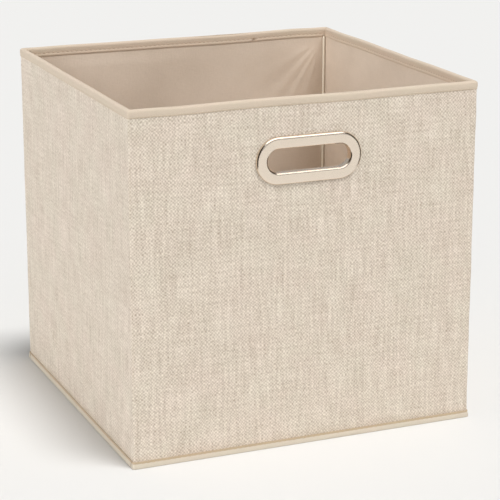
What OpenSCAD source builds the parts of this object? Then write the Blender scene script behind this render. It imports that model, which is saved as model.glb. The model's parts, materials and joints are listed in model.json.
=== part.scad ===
// Collapsible fabric storage bin with one metal eyelet handle.
// Frame: the origin is on the floor in the middle of the footprint, +X is to the right of the front
// wall, +Y points to the rear and +Z up. Every wall is a card between a cover cloth and a lining cloth.
// The side walls crease inward down their middle and the two halves of the base fold up between them.

/* [Bin] */
// Outside width, left to right
bin_w = 310; // [310:5:400]
// Outside depth, front to rear
bin_d = 300; // [260:5:300]
// Height to the top of the rim binding
bin_h = 300; // [280:5:400]

/* [Wall layers] */
// Thickness of the outer cover cloth
cover_t = 0.7; // [0.5:0.1:0.8]
// Thickness of the stiffener card
card_t = 2.3; // [2:0.1:2.4]
// Thickness of the lining cloth
lining_t = 0.6; // [0.4:0.1:0.7]

/* [Bindings and piping] */
// Thickness of the binding tape on the rim
tape_t = 0.6; // [0.4:0.1:0.6]
// How far the rim tape comes down outside
rim_drop_out = 7; // [6:0.5:10]
// How far the rim tape comes down inside
rim_drop_in = 9; // [8:1:14]
// Height of the stitch line below the top of the rim
stitch_drop = 6; // [5:0.5:6]
// Height of the binding round the foot
foot_h = 6; // [4:1:9]
// How far the foot binding stands out of the wall
foot_t = 1.2; // [0.8:0.1:1.6]
// Radius of the piping in the inner corners
piping_r = 1; // [0.6:0.1:1]

/* [Base] */
// Thickness of the card in the base
base_card_t = 2; // [1.5:0.1:2.2]
// Thickness of the cloth on each side of that card
base_cloth_t = 0.5; // [0.4:0.1:0.5]

/* [Handle] */
// Length of the face ring over its round ends
handle_l = 94; // [80:1:110]
// Height of the face ring
handle_h = 40; // [36:1:44]
// Width of the face ring's flange
flange_w = 10; // [9:0.5:11]
// Height of the handle's centre above the floor
handle_z = 248; // [230:1:255]
// How far the face ring stands out of the wall
flange_rise = 2.8; // [2.4:0.1:3.4]

/* [Fold] */
// Distance of the corner pivots inside the walls' inner faces
corner_clear = 1.2; // [1.1:0.1:1.4]
// Height of the side cards' 45 degree edge above the corner where it starts
card_lift = 25; // [25:1:30]

/* [Hidden] */

// Outer faces of the walls, and the thickness of a wall
half_w = bin_w / 2;
half_d = bin_d / 2;
wall_t = cover_t + card_t + lining_t;
// The corner pivots stand this far inside the outer faces
pivot_in = wall_t + corner_clear;
// Cloth and card end below the tape over the rim and above the tape under the foot
foot_leg_t = 0.8;
sheet_z0 = foot_leg_t;
sheet_z1 = bin_h - tape_t;
gusset_z0 = 1;
// A side wall's two halves run from the crease to just short of the front and rear walls
crease_gap = 0.15;
corner_gap = 0.4;
side_end = half_d - wall_t - corner_gap;
// The front and rear rim tapes keep their inner leg clear of the side walls' tapes
inner_leg_half = half_w - wall_t - tape_t - 0.9;
// Threads are flat bars laid along the stitch line
thread_w = 0.4;
thread_rise = 0.3;
stitch_z = bin_h - stitch_drop;
stitch_end = 2;
// The base halves keep clear of the walls, of each other and of the side bindings' outer leg
base_t = base_card_t + 2 * base_cloth_t;
base_gap = 0.5;
base_half_w = half_w - wall_t - base_gap;
base_edge = half_d - wall_t - base_gap;
base_mid_gap = 0.3;
binding_gap = 0.1;
foot_return = 0.2;
// Corner piping, from above the base's swing to just under the rim tape
piping_z0 = 20;
piping_z1 = bin_h - rim_drop_in - 1;
piping_fin = 0.4;
// Handle: a stamped sheet ring whose barrel is clinched over the back ring
sheet_t = 0.8;
slot_r = handle_h / 2 - flange_w;
handle_straight = handle_l / 2 - handle_h / 2;
wall_hole_r = slot_r + sheet_t + 0.1;
outer_bevel_r = 2.2;
inner_lip_r = 1.6;
back_ring_t = 0.8;
back_ring_w = 7;
clinch_w = 2.2;
clinch_t = 0.6;
eps = 0.5;

cover_tint = [0.87, 0.82, 0.75];
lining_tint = [0.74, 0.66, 0.57];
card_tint = [0.72, 0.62, 0.48];
tape_tint = [0.90, 0.84, 0.76];
thread_tint = [0.62, 0.55, 0.46];
piping_tint = [0.93, 0.88, 0.80];
metal_tint = [0.84, 0.79, 0.74];

// ---- building blocks ----

// A box given by its lowest and highest corners
module block(low, high) {
  translate(low) cube(high - low);
}

// The outline of a stadium, pushed through the wall along Y
module stadium_cut(r, y0, y1) {
  for (side = [-1, 1])
    translate([side * handle_straight, y1, handle_z])
      rotate([90, 0, 0]) cylinder(r = r, h = y1 - y0, $fn = 96);
  block([-handle_straight, y0, handle_z - r], [handle_straight, y1, handle_z + r]);
}

// A section carried once round the handle. Its x is the distance from the slot's middle line and
// its y the height above the front wall's outer face.
module stadium_ring(section) {
  translate([0, -half_d, handle_z]) rotate([90, 0, 0]) {
    for (side = [-1, 1]) {
      translate([side * handle_straight, 0, 0]) rotate([0, 0, side * -90])
        rotate_extrude(angle = 180, $fn = 96) polygon(section);
      rotate([0, 0, side < 0 ? 180 : 0]) translate([-handle_straight, 0, 0])
        rotate([90, 0, 90]) linear_extrude(2 * handle_straight) polygon(section);
    }
  }
}

// Points of an arc about c, from angle a0 to a1
function arc(c, r, a0, a1, steps = 6) =
  [for (i = [0 : steps]) c + r * [cos(a0 + (a1 - a0) * i / steps), sin(a0 + (a1 - a0) * i / steps)]];

// The front wall is the rear wall seen in a mirror
module at_end(end) {
  mirror([0, end < 0 ? 1 : 0, 0]) children();
}

// The left rear quarter serves for all four side panels
module at_quarter(side, end) {
  mirror([side > 0 ? 1 : 0, 0, 0]) at_end(end) children();
}

// ---- front and rear walls, drawn as the rear wall ----

module wall_cover() {
  block([-half_w, half_d - cover_t, sheet_z0], [half_w, half_d, sheet_z1]);
  for (side = [-1, 1])
    block([side > 0 ? half_w - cover_t : -half_w, half_d - wall_t, sheet_z0],
          [side > 0 ? half_w : cover_t - half_w, half_d, sheet_z1]);
}

module wall_card() {
  block([cover_t - half_w, half_d - wall_t + lining_t, sheet_z0],
        [half_w - cover_t, half_d - cover_t, sheet_z1]);
}

module wall_lining() {
  block([cover_t - half_w, half_d - wall_t, sheet_z0],
        [half_w - cover_t, half_d - wall_t + lining_t, sheet_z1]);
}

// Tape folded over the rim: outer leg, top and inner leg, with a short turn round each corner
module wall_rim_binding(end) {
  color(tape_tint) at_end(end) {
    out = half_d + tape_t;
    block([-half_w - tape_t, half_d, bin_h - rim_drop_out], [half_w + tape_t, out, bin_h]);
    block([-half_w - tape_t, half_d - wall_t, sheet_z1], [half_w + tape_t, out, bin_h]);
    for (side = [-1, 1])
      block([side > 0 ? half_w : -half_w - tape_t, half_d - wall_t, bin_h - rim_drop_out],
            [side > 0 ? half_w + tape_t : -half_w, out, bin_h]);
    block([-inner_leg_half, half_d - wall_t - tape_t, bin_h - rim_drop_in],
          [inner_leg_half, half_d - wall_t, bin_h]);
  }
}

module wall_rim_stitching(end) {
  color(thread_tint) at_end(end) {
    outer_y = half_d + tape_t;
    inner_y = half_d - wall_t - tape_t;
    block([stitch_end - half_w, outer_y, stitch_z],
          [half_w - stitch_end, outer_y + thread_rise, stitch_z + thread_w]);
    block([stitch_end - inner_leg_half, inner_y - thread_rise, stitch_z],
          [inner_leg_half - stitch_end, inner_y, stitch_z + thread_w]);
  }
}

// Tape round the foot: a strip outside, a leg under the wall and a short turn round each corner
module wall_foot_binding(end) {
  color(tape_tint) at_end(end) {
    out_x = half_w + foot_t;
    turn_y = half_d - wall_t - foot_return;
    block([-out_x, half_d, 0], [out_x, half_d + foot_t, foot_h]);
    block([-out_x, half_d - wall_t, 0], [out_x, half_d + foot_t, foot_leg_t]);
    for (side = [-1, 1])
      block([side > 0 ? half_w : -out_x, turn_y, 0],
            [side > 0 ? out_x : -half_w, half_d + foot_t, foot_h]);
  }
}

// Round cords on the corner pivot lines, each with the fin that is caught in the lining's seam
module wall_corner_piping(end) {
  color(piping_tint) at_end(end)
    for (side = [-1, 1])
      translate([side * (half_w - pivot_in), half_d - pivot_in, piping_z0]) {
        cylinder(r = piping_r, h = piping_z1 - piping_z0, $fn = 48);
        block([-piping_fin, 0, 0], [piping_fin, corner_clear, piping_z1 - piping_z0]);
      }
}

module rear_card() {
  color(card_tint) wall_card();
}

module rear_cover() {
  color(cover_tint) wall_cover();
}

module rear_lining() {
  color(lining_tint) wall_lining();
}

module front_card() {
  color(card_tint) difference() {
    at_end(-1) wall_card();
    stadium_cut(wall_hole_r, -half_d - eps, -half_d + wall_t + eps);
  }
}

module front_cover() {
  color(cover_tint) difference() {
    at_end(-1) wall_cover();
    stadium_cut(wall_hole_r, -half_d - eps, -half_d + wall_t + eps);
  }
}

module front_lining() {
  color(lining_tint) difference() {
    at_end(-1) wall_lining();
    stadium_cut(wall_hole_r, -half_d - eps, -half_d + wall_t + eps);
  }
}

// ---- handle ----

module handle_face_ring() {
  r_out = handle_h / 2;
  barrel_end = -wall_t - back_ring_t;
  bevel_c = [r_out - outer_bevel_r, flange_rise - outer_bevel_r];
  lip_c = [slot_r + inner_lip_r, flange_rise - inner_lip_r];
  section = concat(
    [[r_out, 0]],
    arc(bevel_c, outer_bevel_r, 0, 90),
    arc(lip_c, inner_lip_r, 90, 180),
    [[slot_r, barrel_end - clinch_t], [slot_r + clinch_w, barrel_end - clinch_t],
     [slot_r + clinch_w, barrel_end], [slot_r + sheet_t, barrel_end]],
    arc(lip_c, inner_lip_r - sheet_t, 180, 90),
    arc(bevel_c, outer_bevel_r - sheet_t, 90, 0),
    [[r_out - sheet_t, 0]]);
  color(metal_tint) stadium_ring(section);
}

module handle_back_ring() {
  r_in = slot_r + sheet_t + 0.05;
  r_out = r_in + back_ring_w;
  edge = 0.3;
  color(metal_tint) stadium_ring([
    [r_in, -wall_t], [r_out, -wall_t], [r_out, edge - wall_t - back_ring_t],
    [r_out - edge, -wall_t - back_ring_t], [r_in, -wall_t - back_ring_t]]);
}

// ---- side walls, drawn as the left rear quarter ----

// Height of the 45 degree edge above the foot at a distance y from the crease
function cut_z(y) = half_d - pivot_in - y + card_lift;

// An outline in Y and Z, as a sheet between two distances in from the outer face
module side_sheet(in0, in1, outline) {
  translate([in0 - half_w, 0, 0]) rotate([90, 0, 90]) linear_extrude(in1 - in0) polygon(outline);
}

// The part of a layer above the 45 degree edge
module side_upper(side, end, in0, in1) {
  at_quarter(side, end) side_sheet(in0, in1, [
    [crease_gap, cut_z(crease_gap)], [side_end, cut_z(side_end)],
    [side_end, sheet_z1], [crease_gap, sheet_z1]]);
}

// The soft part of a layer below the 45 degree edge
module side_lower(side, end, in0, in1) {
  at_quarter(side, end) side_sheet(in0, in1, [
    [crease_gap, gusset_z0], [side_end, gusset_z0],
    [side_end, cut_z(side_end)], [crease_gap, cut_z(crease_gap)]]);
}

module side_card(side, end) {
  color(card_tint) side_upper(side, end, cover_t, cover_t + card_t);
}

module side_cover(side, end) {
  color(cover_tint) side_upper(side, end, 0, cover_t);
}

module side_lining(side, end) {
  color(lining_tint) side_upper(side, end, wall_t - lining_t, wall_t);
}

module side_gusset_cover(side, end) {
  color(cover_tint) side_lower(side, end, 0, cover_t);
}

module side_gusset_lining(side, end) {
  color(lining_tint) side_lower(side, end, wall_t - lining_t, wall_t);
}

module side_rim_binding(side, end) {
  color(tape_tint) at_quarter(side, end) {
    out = -half_w - tape_t;
    inner = -half_w + wall_t + tape_t;
    block([out, crease_gap, bin_h - rim_drop_out], [-half_w, side_end, bin_h]);
    block([out, crease_gap, sheet_z1], [inner, side_end, bin_h]);
    block([wall_t - half_w, crease_gap, bin_h - rim_drop_in], [inner, side_end, bin_h]);
  }
}

module side_rim_stitching(side, end) {
  color(thread_tint) at_quarter(side, end) {
    outer_x = -half_w - tape_t;
    inner_x = -half_w + wall_t + tape_t;
    near_crease = crease_gap + stitch_end;
    near_corner = side_end - stitch_end;
    block([outer_x - thread_rise, near_crease, stitch_z],
          [outer_x, near_corner, stitch_z + thread_w]);
    block([inner_x, near_crease, stitch_z],
          [inner_x + thread_rise, near_corner, stitch_z + thread_w]);
  }
}

// ---- base, drawn as the rear half ----

module base_sheet(end, z0, z1) {
  at_end(end) block([-base_half_w, base_mid_gap, z0], [base_half_w, base_edge, z1]);
}

module base_card(end) {
  color(card_tint) base_sheet(end, base_cloth_t, base_cloth_t + base_card_t);
}

module base_lining(end) {
  color(lining_tint) base_sheet(end, base_t - base_cloth_t, base_t);
}

module base_undercover(end) {
  color(cover_tint) base_sheet(end, 0, base_cloth_t);
}

// The foot tape along the base's left and right edges: a leg under the side wall and a strip outside it
module base_side_binding(end) {
  color(tape_tint) at_end(end)
    for (side = [-1, 1])
      mirror([side < 0 ? 1 : 0, 0, 0]) {
        out_x = half_w + foot_t;
        block([base_half_w, base_mid_gap, 0], [out_x, base_edge, foot_leg_t]);
        block([half_w + binding_gap, base_mid_gap, 0], [out_x, base_edge, foot_h]);
      }
}

rear_card();
rear_cover();
rear_lining();
wall_rim_binding(1);  // rear_rim_binding
wall_rim_stitching(1);  // rear_rim_stitching
wall_foot_binding(1);  // rear_foot_binding
wall_corner_piping(1);  // rear_corner_piping
front_card();
front_cover();
front_lining();
wall_rim_binding(-1);  // front_rim_binding
wall_rim_stitching(-1);  // front_rim_stitching
wall_foot_binding(-1);  // front_foot_binding
wall_corner_piping(-1);  // front_corner_piping
handle_face_ring();
handle_back_ring();
side_card(-1, 1);  // left_rear_card
side_cover(-1, 1);  // left_rear_cover
side_lining(-1, 1);  // left_rear_lining
side_rim_binding(-1, 1);  // left_rear_rim_binding
side_rim_stitching(-1, 1);  // left_rear_rim_stitching
side_gusset_cover(-1, 1);  // left_rear_gusset_cover
side_gusset_lining(-1, 1);  // left_rear_gusset_lining
side_card(-1, -1);  // left_front_card
side_cover(-1, -1);  // left_front_cover
side_lining(-1, -1);  // left_front_lining
side_rim_binding(-1, -1);  // left_front_rim_binding
side_rim_stitching(-1, -1);  // left_front_rim_stitching
side_gusset_cover(-1, -1);  // left_front_gusset_cover
side_gusset_lining(-1, -1);  // left_front_gusset_lining
side_card(1, 1);  // right_rear_card
side_cover(1, 1);  // right_rear_cover
side_lining(1, 1);  // right_rear_lining
side_rim_binding(1, 1);  // right_rear_rim_binding
side_rim_stitching(1, 1);  // right_rear_rim_stitching
side_gusset_cover(1, 1);  // right_rear_gusset_cover
side_gusset_lining(1, 1);  // right_rear_gusset_lining
side_card(1, -1);  // right_front_card
side_cover(1, -1);  // right_front_cover
side_lining(1, -1);  // right_front_lining
side_rim_binding(1, -1);  // right_front_rim_binding
side_rim_stitching(1, -1);  // right_front_rim_stitching
side_gusset_cover(1, -1);  // right_front_gusset_cover
side_gusset_lining(1, -1);  // right_front_gusset_lining
base_card(1);  // base_rear_card
base_lining(1);  // base_rear_lining
base_undercover(1);  // base_rear_undercover
base_side_binding(1);  // base_rear_side_binding
base_card(-1);  // base_front_card
base_lining(-1);  // base_front_lining
base_undercover(-1);  // base_front_undercover
base_side_binding(-1);  // base_front_side_binding
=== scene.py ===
"""Looks of the fabric storage bin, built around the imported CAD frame. Metres, +Z up, front wall at -Y."""
import json
import math

import bmesh
import bpy
import numpy as np
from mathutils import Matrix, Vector


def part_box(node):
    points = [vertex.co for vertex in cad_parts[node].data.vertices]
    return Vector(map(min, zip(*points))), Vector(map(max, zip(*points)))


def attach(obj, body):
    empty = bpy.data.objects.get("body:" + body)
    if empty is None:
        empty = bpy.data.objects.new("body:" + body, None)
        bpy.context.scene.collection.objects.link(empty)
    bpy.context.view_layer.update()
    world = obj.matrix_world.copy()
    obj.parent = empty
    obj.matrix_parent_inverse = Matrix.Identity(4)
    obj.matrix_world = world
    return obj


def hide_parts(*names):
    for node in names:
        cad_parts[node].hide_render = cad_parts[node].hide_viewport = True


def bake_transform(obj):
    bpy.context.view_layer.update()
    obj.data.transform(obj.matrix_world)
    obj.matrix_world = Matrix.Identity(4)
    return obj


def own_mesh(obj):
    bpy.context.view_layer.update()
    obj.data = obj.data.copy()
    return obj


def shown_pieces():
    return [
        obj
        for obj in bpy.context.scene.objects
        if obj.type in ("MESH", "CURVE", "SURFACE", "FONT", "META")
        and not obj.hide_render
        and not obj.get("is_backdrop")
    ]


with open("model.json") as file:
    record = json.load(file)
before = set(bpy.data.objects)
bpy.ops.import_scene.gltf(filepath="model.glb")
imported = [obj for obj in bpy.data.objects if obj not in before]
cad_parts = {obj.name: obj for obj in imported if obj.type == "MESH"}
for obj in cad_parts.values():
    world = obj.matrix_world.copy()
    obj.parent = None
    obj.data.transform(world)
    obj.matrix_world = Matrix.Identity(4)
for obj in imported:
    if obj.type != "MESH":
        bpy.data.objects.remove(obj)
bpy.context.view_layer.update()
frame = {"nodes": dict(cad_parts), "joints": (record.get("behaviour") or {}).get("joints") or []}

MM = 0.001

# ---- sizes, read from the frame ----

HALF_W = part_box("rear_cover")[1].x
HALF_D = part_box("rear_cover")[1].y
RIM_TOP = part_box("rear_rim_binding")[1].z
TAPE_T = RIM_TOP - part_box("rear_cover")[1].z
COVER_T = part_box("left_rear_cover")[1].x + HALF_W
WALL_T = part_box("left_rear_lining")[1].x + HALF_W
LINING_T = WALL_T - (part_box("left_rear_card")[1].x + HALF_W)
OUTER_TAPE_Z = RIM_TOP - 7 * MM
INNER_TAPE_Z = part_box("rear_rim_binding")[0].z
STITCH_Z = sum(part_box("rear_rim_stitching")[k].z for k in (0, 1)) / 2
FOOT_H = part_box("rear_foot_binding")[1].z
BASE_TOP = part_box("base_rear_lining")[1].z
BASE_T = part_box("base_rear_lining")[1].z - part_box("base_rear_lining")[0].z
BASE_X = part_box("base_rear_lining")[1].x
BASE_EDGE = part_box("base_rear_lining")[1].y
BASE_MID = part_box("base_rear_lining")[0].y
APEX_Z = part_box("left_rear_gusset_cover")[1].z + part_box("left_rear_gusset_cover")[0].y
PIVOTS = {j["name"]: Vector(j["pos_m"]) for j in frame["joints"]}
PIVOT_IN = HALF_W - abs(PIVOTS["fold"].x)

# How far the strips of cloth round the corners and creases run onto the walls
CORNER_RUN = 13.5 * MM
CREASE_RUN = 5.5 * MM
# The bend itself is a little shorter than the strip
CREASE_BEND = 4 * MM
CORNER_BEND = 8.3 * MM
LAP_END = 5 * MM
CORNER_R = 1.8 * MM
CELL = 3.5 * MM
SHEET_LOW = 1 * MM
COVER_HIGH_Z = OUTER_TAPE_Z + 1 * MM
LINING_HIGH_Z = INNER_TAPE_Z + 1 * MM
LINING_LOW_Z = 12 * MM
LINING_FOOT_Z = 4 * MM

# Handle, from its CAD rings
RING_LOW, RING_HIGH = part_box("handle_face_ring")
RING_R = (RING_HIGH.z - RING_LOW.z) / 2
RING_Z = (RING_HIGH.z + RING_LOW.z) / 2
RING_STRAIGHT = (RING_HIGH.x - RING_LOW.x) / 2 - RING_R
RING_RISE = -HALF_D - RING_LOW.y
RING_BACK = RING_HIGH.y + HALF_D
SLOT_R = RING_R - 10 * MM

# Name of each wall: direction along it, direction out of it, distance of its outer face
WALLS = {
    "front": ((1, 0), (0, -1), HALF_D),
    "rear": ((1, 0), (0, 1), HALF_D),
    "left": ((0, 1), (-1, 0), HALF_W),
    "right": ((0, 1), (1, 0), HALF_W),
}
HALF_RUN = {"front": HALF_W, "rear": HALF_W, "left": HALF_D, "right": HALF_D}
SIDES = {"left": -1, "right": 1}
ENDS = {"front": -1, "rear": 1}


def smooth(t):
    """0 to 1 with soft ends, for t from 0 to 1."""
    t = np.clip(t, 0, 1)
    return t * t * (3 - 2 * t)


def bell(t):
    return np.exp(-t * t)


def ripple(s, z, seed, span):
    """A smooth uneven surface between about -1 and 1, with bumps about span wide."""
    rng = np.random.default_rng(seed)
    total = 0
    for _ in range(7):
        heading, phase = rng.uniform(0, math.tau, 2)
        wave = span * rng.uniform(0.7, 1.7)
        total = total + np.sin((s * math.cos(heading) + z * math.sin(heading)) / wave * math.tau + phase)
    return total / 3.5


# ---- the shape of the cloths ----

def wrinkle_z(y):
    """Height of the soft wrinkle at the rear of the left wall."""
    t = np.clip((HALF_D - 2 * MM - y) / (113 * MM), 0, 1.1)
    return (63 - 10 * t - 48 * t**3) * MM


def cover_lift(wall, s, z):
    """How far the cover stands out from its flat place."""
    edge = smooth((HALF_RUN[wall] - np.abs(s) - CORNER_RUN) / (30 * MM))
    ends = smooth((z - 6 * MM) / (25 * MM)) * smooth((OUTER_TAPE_Z - z) / (25 * MM))
    seed = list(WALLS).index(wall)
    lift = 0.35 * MM * ripple(s, z, seed, 0.11) + 0.10 * MM * ripple(s, z, seed + 9, 0.04)
    lift = lift * edge * ends
    if wall == "left":
        t = (HALF_D - s) / (115 * MM)
        slope = (10 + 144 * np.clip(t, 0, 1) ** 2) / 113
        off = (z - wrinkle_z(s)) / np.sqrt(1 + slope**2)
        along = smooth((t + 0.02) / 0.12) * smooth((1.02 - t) / 0.25)
        fold = 0.7 * MM * bell((off - 4 * MM) / (4 * MM)) - 0.6 * MM * bell(off / (1.3 * MM))
        fold = fold * along * smooth((z - FOOT_H) / (8 * MM))
        lift = lift + fold * smooth((HALF_D - CORNER_RUN - s) / (6 * MM))
    return np.maximum(lift, 0.15 * MM - COVER_T)


def lining_lift(wall, s, z):
    """How far the lining stands into the bin from its flat place."""
    edge = smooth((HALF_RUN[wall] - np.abs(s) - CORNER_RUN) / (25 * MM))
    ends = smooth((z - LINING_LOW_Z) / (25 * MM)) * smooth((INNER_TAPE_Z - z) / (14 * MM))
    seed = 20 + list(WALLS).index(wall)
    lift = (0.45 * MM + 0.4 * MM * ripple(s, z, seed, 0.09)) * edge * ends
    if wall == "rear":
        lift = lift + corner_rays(HALF_W - 5 * MM - s, INNER_TAPE_Z - z) * ends
    if wall == "right":
        lift = lift + 0.6 * corner_rays(HALF_D - 5 * MM - s, INNER_TAPE_Z - z) * ends
    return lift


def corner_rays(across, down):
    """Fine folds that fan out from the top of the rear right corner."""
    reach = np.hypot(across, down)
    angle = np.degrees(np.arctan2(across, np.maximum(down, 1e-6)))
    total = 0
    for middle, width, height in ((19, 4.5, 0.4), (31, 4.0, 0.6), (43, 5.5, 0.7), (60, 7, 0.45)):
        total = total + height * bell((angle - middle) / width)
    fade = smooth((reach - 6 * MM) / (22 * MM)) * smooth((150 * MM - reach) / (110 * MM))
    return total * MM * fade


def on_wall(wall, s, z, depth):
    """The points at s along a wall, z up and depth in from its outer face."""
    (ax, ay), (ox, oy), half = WALLS[wall]
    s, z, depth = np.broadcast_arrays(np.asarray(s, float), z, depth)
    return np.stack([ax * s + ox * (half - depth), ay * s + oy * (half - depth), z], -1)


def cover_point(wall, s, z, depth):
    return on_wall(wall, s, z, depth - cover_lift(wall, s, z))


def lining_point(wall, s, z, depth):
    return on_wall(wall, s, z, depth + lining_lift(wall, s, z))


def girth(wall, s):
    """Distance round the bin of a place on a wall, from the middle of the front. The weave follows it."""
    turn = 2 * (CORNER_RUN - CORNER_R) + CORNER_R * math.pi / 2
    front_end = HALF_W - CORNER_RUN
    side_start = front_end + turn
    side_end = side_start + 2 * (HALF_D - CORNER_RUN)
    if wall == "front":
        return s
    if wall == "left":
        return -(side_start + (s + HALF_D - CORNER_RUN))
    if wall == "right":
        return side_start + (s + HALF_D - CORNER_RUN)
    return -(side_end + turn + (s + HALF_W - CORNER_RUN))


def corner_radius(depth):
    """Radius of the bend round a corner. It is small enough to hide the card's square edge."""
    return np.maximum(CORNER_R - 0.3 * np.asarray(depth, float), 0.35 * MM)


def corner_stops():
    """Places along the path round a corner, as (place, kind): the share of the straight run on the end wall,
    the angle round the bend, and the share of the run on the side wall."""
    return (
        [(share, "end") for share in (1, 0.6, 0.25)]
        + [(angle, "bend") for angle in np.linspace(0, math.pi / 2, 8)]
        + [(share, "side") for share in np.linspace(0, 1, 18)[1:]]
    )


def corner_xy(side, end, depth, stop, tight=False):
    """Where a stop lies, in x and y, for layers at these depths. tight turns about the corner's pivot.
    A stop of kind "at" lies on the side wall, this far from the corner."""
    depth = np.asarray(depth, float)
    radius = PIVOT_IN - depth if tight else corner_radius(depth)
    centre = depth + radius
    place, kind = stop
    run = np.maximum(place, centre + 0.05 * MM) if kind == "at" else centre + (CORNER_RUN - centre) * place
    if kind == "end":
        return side * (HALF_W - run), end * (HALF_D - depth)
    if kind in ("side", "at"):
        return side * (HALF_W - depth), end * (HALF_D - run)
    x = HALF_W - centre + radius * math.sin(place)
    y = HALF_D - centre + radius * math.cos(place)
    return side * x, end * y


# ---- meshes ----

def link(mesh, name, material, uv=None, sharp=50):
    """A smooth-shaded object from a mesh, with its faces turned outward."""
    shape = bmesh.new()
    shape.from_mesh(mesh)
    bmesh.ops.recalc_face_normals(shape, faces=shape.faces)
    shape.to_mesh(mesh)
    shape.free()
    if uv is not None:
        corners = np.zeros(len(mesh.loops), int)
        mesh.loops.foreach_get("vertex_index", corners)
        mesh.uv_layers.new(name="cloth").data.foreach_set("uv", uv[corners].astype(np.float32).ravel())
    mesh.polygons.foreach_set("use_smooth", [True] * len(mesh.polygons))
    mesh.set_sharp_from_angle(angle=math.radians(sharp))
    mesh.materials.append(material)
    obj = bpy.data.objects.new(name, mesh)
    bpy.context.scene.collection.objects.link(obj)
    return obj


def shell(name, front, back, uv, material, keep):
    """A closed sheet between two grids of points, with the cells where keep is false left out."""
    rows, columns = front.shape[:2]
    keep = np.ones((rows - 1, columns - 1), bool) if keep is None else keep
    index = np.arange(rows * columns).reshape(rows, columns)
    low, right = index[:-1, :-1], index[1:, :-1]
    both, up = index[1:, 1:], index[:-1, 1:]
    quads = np.stack([low, right, both, up], -1)[keep]
    edges = np.concatenate([quads[:, [k, (k + 1) % 4]] for k in range(4)])
    key = np.sort(edges, 1)
    _, first, count = np.unique(key[:, 0] * rows * columns + key[:, 1], return_index=True, return_counts=True)
    border = edges[first[count == 1]]
    away = rows * columns
    rim = np.stack([border[:, 1], border[:, 0], border[:, 0] + away, border[:, 1] + away], -1)
    faces = np.concatenate([quads, quads[:, ::-1] + away, rim])
    used, renamed = np.unique(faces, return_inverse=True)
    points = np.concatenate([front.reshape(-1, 3), back.reshape(-1, 3)])[used]
    both_uv = np.concatenate([uv.reshape(-1, 2), uv.reshape(-1, 2)])[used]
    mesh = bpy.data.meshes.new(name)
    mesh.from_pydata(points.tolist(), [], renamed.reshape(-1, 4).tolist())
    return link(mesh, name, material, both_uv)


def fasten(piece, body, replaces=()):
    """Puts a piece on its body. body is one body, or (body, body, start, end) for a bend; then the piece is
    put on no body, with its place baked into its mesh.
    """
    if isinstance(body, str):
        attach(piece, body)
    else:
        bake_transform(piece)
    if replaces:
        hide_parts(*replaces)
    return piece


def cloth(name, front, back, uv, material, slot, body, replaces=(), held="stretched", keep=None):
    """A sheet of cloth as a piece of the bin."""
    piece = fasten(shell(name, front, back, uv, material, keep), body, replaces)
    return piece


def steps(low, high, cell=CELL):
    return np.linspace(low, high, max(2, round((high - low) / cell) + 1))


def end_run(cell=CELL):
    """Places along an end wall between its corners."""
    return steps(-HALF_W + CORNER_RUN, HALF_W - CORNER_RUN, cell)


def side_run(sign, low, cell):
    """Places along one panel of a side wall, from low to its corner, front to rear."""
    run = sign * steps(low, HALF_D - CORNER_RUN, cell)
    return run if sign > 0 else run[::-1]


def distances(path):
    """Distance of each point of a path from its start, along it."""
    return np.concatenate([[0], np.linalg.norm(np.diff(path, axis=0), axis=1).cumsum()])


def weave(u, v):
    """The cloth coordinates of a grid, from those across and those up it."""
    return np.stack(np.broadcast_arrays(u[None, :], v[:, None]), -1)


# ---- materials ----

class Shader:
    """A new material, with short ways to add nodes to it. A value is a number or another node's output."""

    def __init__(self, name):
        self.material = bpy.data.materials.new(name)
        self.material.use_nodes = True
        self.nodes = self.material.node_tree.nodes
        self.link = self.material.node_tree.links.new
        self.inputs = self.nodes["Principled BSDF"].inputs

    def finish(self, **settings):
        """Sets the shader's own numbers, such as Roughness or Sheen_Weight."""
        for name, value in settings.items():
            self.inputs[name.replace("_", " ")].default_value = value
        return self.material

    def add(self, kind):
        return self.nodes.new("ShaderNode" + kind)

    def put(self, value, socket):
        if isinstance(value, bpy.types.NodeSocket):
            self.link(value, socket)
        else:
            socket.default_value = (*value, 1) if isinstance(value, tuple) else value

    def math(self, operation, a, b=None):
        node = self.add("Math")
        node.operation = operation
        self.put(a, node.inputs[0])
        if b is not None:
            self.put(b, node.inputs[1])
        return node.outputs[0]

    def noise(self, vector, scale, detail=2, stretch=(1, 1, 1), roughness=0.5):
        mapping = self.add("Mapping")
        mapping.inputs["Scale"].default_value = stretch
        self.link(vector, mapping.inputs["Vector"])
        noise = self.add("TexNoise")
        noise.inputs["Scale"].default_value = scale
        noise.inputs["Detail"].default_value = detail
        noise.inputs["Roughness"].default_value = roughness
        self.link(mapping.outputs[0], noise.inputs["Vector"])
        return noise.outputs["Fac"]

    def ramp(self, value, stops):
        ramp = self.add("ValToRGB")
        elements = ramp.color_ramp.elements
        while len(elements) < len(stops):
            elements.new(0.5)
        for element, (place, colour) in zip(elements, stops):
            element.position = place
            element.color = (*colour, 1)
        self.link(value, ramp.inputs[0])
        return ramp.outputs[0]

    def mix(self, share, a, b, blend_type="MIX"):
        mix = self.add("Mix")
        mix.data_type = "RGBA"
        mix.blend_type = blend_type
        self.put(share, mix.inputs[0])
        self.put(a, mix.inputs[6])
        self.put(b, mix.inputs[7])
        return mix.outputs[2]

    def bump(self, height, distance):
        node = self.add("Bump")
        node.inputs["Distance"].default_value = distance
        self.link(height, node.inputs["Height"])
        self.link(node.outputs[0], self.inputs["Normal"])

    def cloth_place(self):
        return self.add("UVMap").outputs[0]

    def axes(self, vector):
        split = self.add("SeparateXYZ")
        self.link(vector, split.inputs[0])
        return split.outputs

    def solid_place(self):
        return self.add("TexCoord").outputs["Object"]


def linear(r, g, b):
    """A colour given as 0 to 255 screen values, as the shader wants it."""
    def one(v):
        v = v / 255
        return v / 12.92 if v <= 0.04045 else ((v + 0.055) / 1.055) ** 2.4
    return one(r), one(g), one(b)


# How far the threads of a weave wander, as an angle of their wave
WANDER = 9.0


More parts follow.
